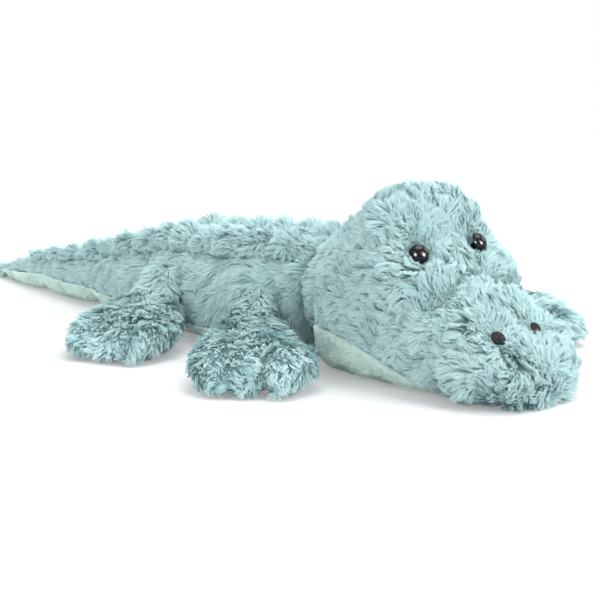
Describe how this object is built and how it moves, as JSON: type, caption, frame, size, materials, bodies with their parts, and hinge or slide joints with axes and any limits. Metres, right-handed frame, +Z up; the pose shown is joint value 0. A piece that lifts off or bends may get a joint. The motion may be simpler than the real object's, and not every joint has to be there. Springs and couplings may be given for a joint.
{
  "type": "plush crocodile",
  "caption": "Stuffed plush crocodile lying on its belly, with a domed head, pale jaw and belly gussets, ridged back, paws and a tapering tail.",
  "frame": {"origin": "on the toy's middle plane, where the underside of the belly rests", "axes": "+X towards the nose, +Y to the toy's left, +Z up"},
  "size_m": [0.6034, 0.3338, 0.1316],
  "materials": {
    "plush": "matte",
    "pale_plush": "matte",
    "fibre": "matte",
    "gloss_black": "gloss",
    "nylon": "matte",
    "black_thread": "satin"
  },
  "bodies": {
    "torso": {"torso_skin": "plush", "belly_gusset": "pale_plush", "torso_filling": "fibre", "torso_ridge_left": "plush", "torso_ridge_right": "plush"},
    "neck": {"neck_skin": "plush", "neck_filling": "fibre"},
    "head": {"head_skin": "plush", "jaw_gusset": "pale_plush", "head_filling": "fibre", "eye_left": "gloss_black", "eye_right": "gloss_black", "eye_washer_left": "nylon", "eye_washer_right": "nylon", "nostril_left": "black_thread", "nostril_right": "black_thread"},
    "front_left_leg": {"front_left_leg_skin": "plush", "front_left_leg_filling": "fibre"},
    "front_right_leg": {"front_right_leg_skin": "plush", "front_right_leg_filling": "fibre"},
    "rear_left_leg": {"rear_left_leg_skin": "plush", "rear_left_leg_filling": "fibre"},
    "rear_right_leg": {"rear_right_leg_skin": "plush", "rear_right_leg_filling": "fibre"},
    "tail_base": {"tail_base_skin": "plush", "tail_base_gusset": "pale_plush", "tail_base_filling": "fibre", "tail_base_ridge_left": "plush", "tail_base_ridge_right": "plush"},
    "tail_middle": {"tail_middle_skin": "plush", "tail_middle_gusset": "pale_plush", "tail_middle_filling": "fibre", "tail_middle_ridge_left": "plush", "tail_middle_ridge_right": "plush"},
    "tail_end": {"tail_end_skin": "plush", "tail_end_gusset": "pale_plush", "tail_end_filling": "fibre", "tail_end_ridge_left": "plush", "tail_end_ridge_right": "plush"}
  },
  "joints": [
    {"name": "neck_turn", "type": "hinge", "parent": "torso", "child": "neck", "pos_m": [0.126, 0, 0.051], "axis": [0, 0, 1], "range_deg": [-12, 12], "stiffness_Nm_per_rad": 0.6},
    {"name": "head_nod", "type": "hinge", "parent": "neck", "child": "head", "pos_m": [0.126, 0, 0.051], "axis": [0, -1, 0], "range_deg": [-8, 10], "stiffness_Nm_per_rad": 0.6},
    {"name": "front_left_leg_flap", "type": "hinge", "parent": "torso", "child": "front_left_leg", "pos_m": [0.062, 0.044, 0.038], "axis": [0.6947, -0.7193, 0], "range_deg": [-10, 30], "stiffness_Nm_per_rad": 0.15},
    {"name": "front_right_leg_flap", "type": "hinge", "parent": "torso", "child": "front_right_leg", "pos_m": [0.062, -0.044, 0.038], "axis": [-0.7431, -0.6691, 0], "range_deg": [-10, 30], "stiffness_Nm_per_rad": 0.15},
    {"name": "rear_left_leg_flap", "type": "hinge", "parent": "torso", "child": "rear_left_leg", "pos_m": [-0.034, 0.044, 0.038], "axis": [0.9511, -0.309, 0], "range_deg": [-10, 30], "stiffness_Nm_per_rad": 0.15},
    {"name": "rear_right_leg_flap", "type": "hinge", "parent": "torso", "child": "rear_right_leg", "pos_m": [-0.034, -0.044, 0.038], "axis": [-0.9397, -0.342, 0], "range_deg": [-10, 30], "stiffness_Nm_per_rad": 0.15},
    {"name": "tail_base_swing", "type": "hinge", "parent": "torso", "child": "tail_base", "pos_m": [-0.075, 0, 0.0345], "axis": [0, 0, 1], "range_deg": [-18, 18], "stiffness_Nm_per_rad": 0.3},
    {"name": "tail_middle_lift", "type": "hinge", "parent": "tail_base", "child": "tail_middle", "pos_m": [-0.15, 0, 0.02412], "axis": [0, 1, 0], "range_deg": [-12, 20], "stiffness_Nm_per_rad": 0.12},
    {"name": "tail_end_swing", "type": "hinge", "parent": "tail_middle", "child": "tail_end", "pos_m": [-0.222, 0, 0.01647], "axis": [0, 0, 1], "range_deg": [-18, 18], "stiffness_Nm_per_rad": 0.04}
  ]
}
